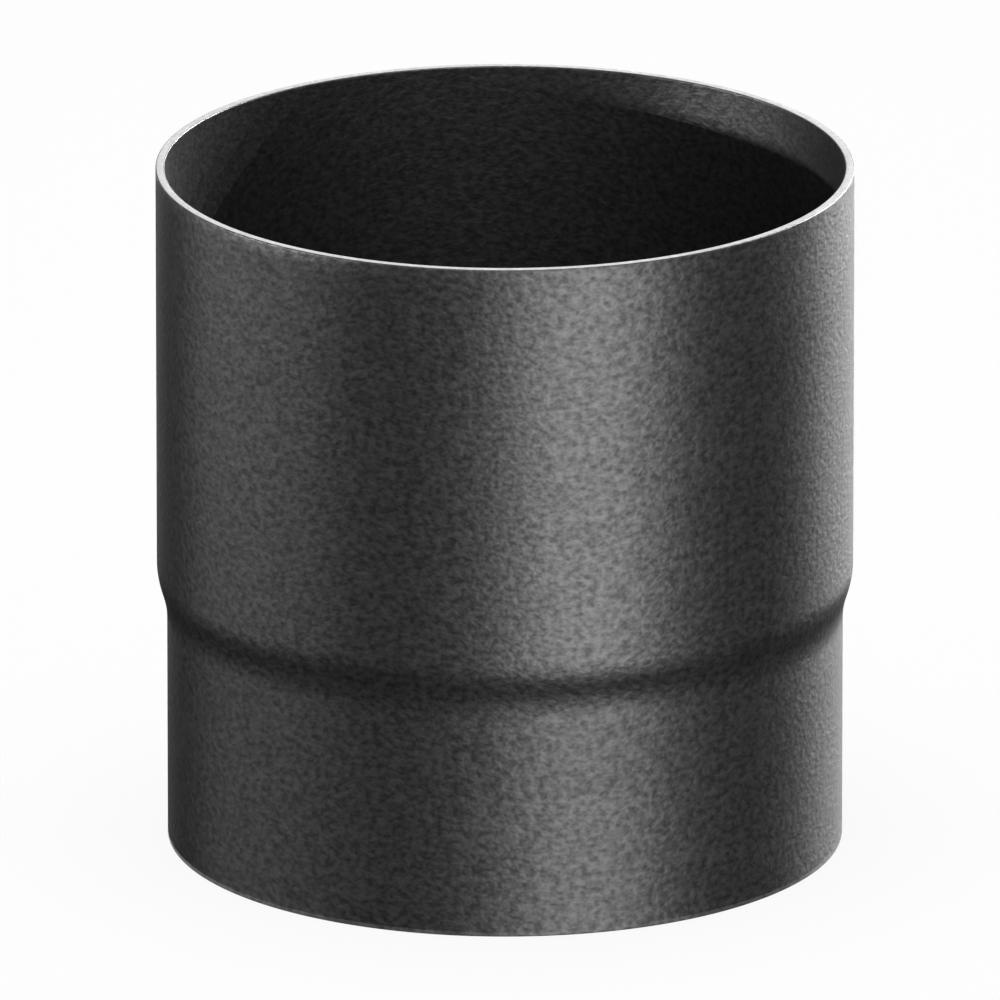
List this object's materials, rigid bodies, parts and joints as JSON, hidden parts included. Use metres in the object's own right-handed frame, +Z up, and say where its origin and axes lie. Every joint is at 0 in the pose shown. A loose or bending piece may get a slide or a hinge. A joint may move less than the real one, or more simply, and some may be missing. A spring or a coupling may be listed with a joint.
{
  "type": "straight flue pipe",
  "caption": "Short straight steel flue pipe, open at both ends, with a plain socket above and a swaged spigot below that slides into the next pipe.",
  "frame": {"origin": "middle of the spigot's end face, the face that the pipe stands on", "axes": "+Z up along the pipe's axis, from the spigot to the socket; X and Y are any two directions across the round pipe"},
  "size_m": [0.154, 0.154, 0.154],
  "materials": {
    "black_paint": "satin heat-resistant paint with a fine grain, bare steel at the cut rims"
  },
  "bodies": {
    "root": {"flue_pipe": "black_paint"}
  },
  "joints": []
}
